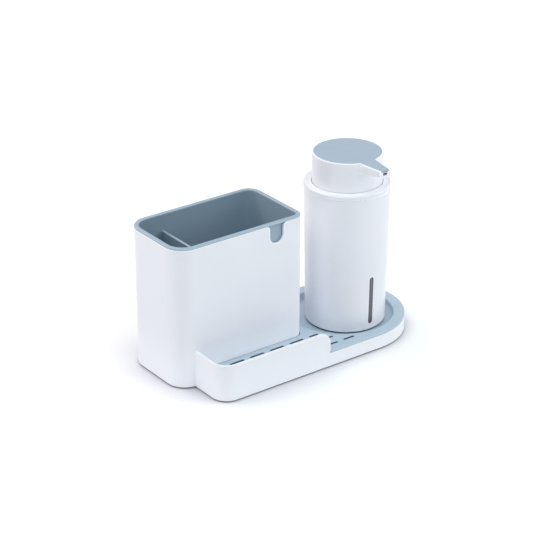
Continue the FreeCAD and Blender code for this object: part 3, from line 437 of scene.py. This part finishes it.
def rubber(name, colour):
    """Matt rubber with a pebbled surface and a dusty bloom."""
    nodes = Nodes(name)
    base = nodes.mottled(colour, nodes.noise(RUBBER_BLOOM, FINE_DETAIL), RUBBER_TONES)
    gloss = nodes.spread(nodes.noise(RUBBER_PATCHES), *RUBBER_GLOSS)
    normal = nodes.bump(nodes.noise(RUBBER_PEBBLES), PEBBLE_STRENGTH, PEBBLE_DEPTH)
    return nodes.principled(Base_Color=base, Roughness=gloss, Normal=normal, IOR=RUBBER_IOR)


def steel(name, colour, roughness):
    """Stainless steel with fine drawing marks."""
    nodes = Nodes(name)
    marks = nodes.noise(DRAWING_MARKS, FINE_DETAIL)
    base = nodes.mottled(colour, marks, STEEL_TONES)
    gloss = nodes.gloss(STEEL_PATCHES, roughness, POLISH_GLOSS_SHARES)
    normal = nodes.bump(marks, MARK_STRENGTH, MARK_DEPTH)
    return nodes.principled(Base_Color=base, Roughness=gloss, Normal=normal, Metallic=1.0)


def dress():
    """Give each node of the frame its material."""
    white = moulded_plastic(
        "white_shell",
        WHITE,
        roughness=0.30,
        grain=SHELL_GRAIN,
        edge=SHELL_EDGE,
        gap=SHELL_GAP,
        dark=0.15,
        coat=0.15,
        painted_fill=1.15,
        painted_highlight=WHITE_PAINTED_HIGHLIGHT,
    )
    plate = moulded_plastic(
        "grey_plate",
        PLATE_GREY,
        roughness=0.36,
        grain=FINE_GRAIN,
        edge=GREY_EDGE,
        gap=GREY_GAP,
        dark=0.06,
        painted_light_tint=slot_painted_shade,
    )
    inlay = moulded_plastic(
        "grey_inlay",
        INLAY_GREY,
        roughness=0.34,
        grain=FINE_GRAIN,
        edge=INLAY_EDGE,
        gap=GREY_GAP,
        dark=0.10,
    )
    liner = moulded_plastic(
        "liner_grey",
        LINER_GREY,
        roughness=0.36,
        grain=FINE_GRAIN,
        edge=GREY_EDGE,
        gap=GREY_GAP,
        dark=0.40,
        painted_light_tint=liner_painted_shade,
        painted_highlight=LINER_PAINTED_HIGHLIGHT,
    )
    natural = moulded_plastic(
        "natural_plastic",
        NATURAL,
        roughness=0.40,
        grain=FINE_GRAIN,
        edge=NATURAL_EDGE,
        gap=NATURAL_GAP,
        dark=0.12,
    )
    seal = rubber("seal_rubber", SEAL_GREY)
    wear = {
        "caddy_body": white,
        "rubber_feet": rubber("foot_rubber", FOOT_BLACK),
        "drip_plate": plate,
        "brush_liner": liner,
        "bottle_sleeve": white,
        "level_window": window_plastic("clear_window"),
        "inner_tank": clear_plastic("clear_tank", TANK_TINT, transmission=0.6, roughness=0.12),
        "collar_lid": white,
        "lid_gasket": seal,
        "housing_gasket": seal,
        "pump_housing": natural,
        "stem_guide": natural,
        "piston": seal,
        "piston_stem": natural,
        "return_spring": steel("spring_steel", WIRE_STEEL, roughness=0.25),
        "inlet_ball": steel("ball_steel", BALL_STEEL, roughness=0.08),
        "outlet_ball": steel("ball_steel_top", BALL_STEEL, roughness=0.08),
        "dip_tube": natural,
        "pump_head": white,
        "head_inlay": inlay,
        "spout_pipe": natural,
    }
    for name, material in wear.items():
        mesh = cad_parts[name].data
        mesh.materials.clear()
        mesh.materials.append(material)


def make_coil():
    """The return spring's visible copy, hung from the spring's body on a mesh of its own; the real spring
    shortens as the head is pressed.
    """
    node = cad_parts["return_spring"]
    coil = bpy.data.objects.new("return_coil", node.data.copy())
    coil.matrix_world = node.matrix_world.copy()
    scene.collection.objects.link(coil)
    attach(coil, "spring")
    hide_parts("return_spring")
    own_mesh(coil)


def seen_directly(tree):
    """1 for what the camera, a mirror or a clear surface sees, and 0 for light that falls on the object."""
    path = tree.nodes.new("ShaderNodeLightPath")
    total = path.outputs["Is Camera Ray"]
    for name in ("Is Glossy Ray", "Is Transmission Ray"):
        node = tree.nodes.new("ShaderNodeMath")
        node.operation = "MAXIMUM"
        tree.links.new(total, node.inputs[0])
        tree.links.new(path.outputs[name], node.inputs[1])
        total = node.outputs["Value"]
    return total


def floor_paper():
    """White paper that glows towards the distance, with a painted soft shadow near the object."""
    nodes = Nodes("floor_paper")
    tree = nodes.tree
    seen = seen_directly(tree)
    clear = nodes.ramp(nodes.openness(SHADOW_REACH), SHADOW_END, SHADOW_START)
    # painted shadow: darker where the floor is shut in near the object
    shadow = nodes.mix(seen, shade(WHOLE), nodes.mix(clear, shade(FLOOR_PAINTED_SHADOW), shade(WHOLE)))
    far = nodes.ramp(nodes.distance(nodes.place), FLOOR_NEAR, FLOOR_FAR)
    glow = nodes.mix(far, shade(FLOOR_GLOW), shade(FLOOR_GLOW_FAR))
    paper = nodes.mottled(FLOOR_COLOUR, nodes.noise(FLOOR_CLOUDS), FLOOR_TONES)
    light = nodes.add("ShaderNodeEmission", Color=nodes.product(glow, shadow), Strength=seen)
    matt = nodes.add("ShaderNodeBsdfDiffuse", Color=nodes.product(paper, shadow))
    both = tree.nodes.new("ShaderNodeAddShader")
    nodes.set(both, 0, matt.outputs["BSDF"])
    nodes.set(both, 1, light.outputs["Emission"])
    nodes.set(tree.nodes["Material Output"], "Surface", both.outputs["Shader"])
    tree.nodes.remove(nodes.shader)
    return nodes.material


def make_floor():
    """A wide flat floor at the height that the object stands on."""
    mesh = bpy.data.meshes.new("floor")
    half = FLOOR_SIZE / 2
    corners = [(-half, -half, 0), (half, -half, 0), (half, half, 0), (-half, half, 0)]
    mesh.from_pydata(corners, [], [(0, 1, 2, 3)])
    mesh.materials.append(floor_paper())
    floor = bpy.data.objects.new("floor", mesh)
    scene.collection.objects.link(floor)


def make_world():
    """A soft bluish light on the object, which looks plain white where it is seen."""
    world = bpy.data.worlds.new("studio")
    scene.world = world
    world.use_nodes = True
    tree = world.node_tree
    light = tree.nodes["Background"]
    light.inputs["Color"].default_value = shade(WORLD_COLOUR)
    light.inputs["Strength"].default_value = WORLD_LEVEL
    white = tree.nodes.new("ShaderNodeBackground")
    white.inputs["Color"].default_value = shade(WHOLE)
    white.inputs["Strength"].default_value = 1.0
    pick = tree.nodes.new("ShaderNodeMixShader")
    tree.links.new(seen_directly(tree), pick.inputs["Fac"])
    tree.links.new(light.outputs["Background"], pick.inputs[1])
    tree.links.new(white.outputs["Background"], pick.inputs[2])
    tree.links.new(pick.outputs["Shader"], tree.nodes["World Output"].inputs["Surface"])


def make_lamps():
    """Soft boxes that stand round the object and face it."""
    for name, (turn, rise, power, colour) in SOFT_BOXES.items():
        data = bpy.data.lights.new(name, "AREA")
        data.energy = power
        data.color = colour
        data.shape = "RECTANGLE"
        data.size = data.size_y = SOFT_BOX_SIZE
        lamp = bpy.data.objects.new(name, data)
        around, above = math.radians(turn), math.radians(rise)
        flat = math.cos(above)
        way = Vector((math.sin(around) * flat, -math.cos(around) * flat, math.sin(above)))
        lamp.location = Vector(SOFT_BOX_AIM) + way * SOFT_BOX_DISTANCE
        lamp.rotation_mode = "QUATERNION"
        lamp.rotation_quaternion = (-way).to_track_quat("-Z", "Y")
        scene.collection.objects.link(lamp)


def make_camera():
    """The camera at the place and angle from which the photograph was taken."""
    data = bpy.data.cameras.new("photo_camera")
    data.sensor_width = SENSOR_WIDTH
    data.lens = CAMERA_LENS
    data.clip_start, data.clip_end = CLIP_START, CLIP_END
    camera = bpy.data.objects.new("photo_camera", data)
    turn, tilt = math.radians(CAMERA_AZIMUTH), math.radians(CAMERA_ELEVATION)
    back = Vector((-math.sin(turn) * math.cos(tilt), -math.cos(turn) * math.cos(tilt), math.sin(tilt)))
    right = Vector((math.cos(turn), -math.sin(turn), 0.0))
    up = back.cross(right)
    camera.matrix_world = Matrix((right, up, back)).transposed().to_4x4()
    camera.location = CAMERA_PLACE
    scene.collection.objects.link(camera)
    scene.camera = camera


dress()
make_coil()
make_floor()
make_world()
make_lamps()
make_camera()
scene.view_settings.view_transform = "Standard"
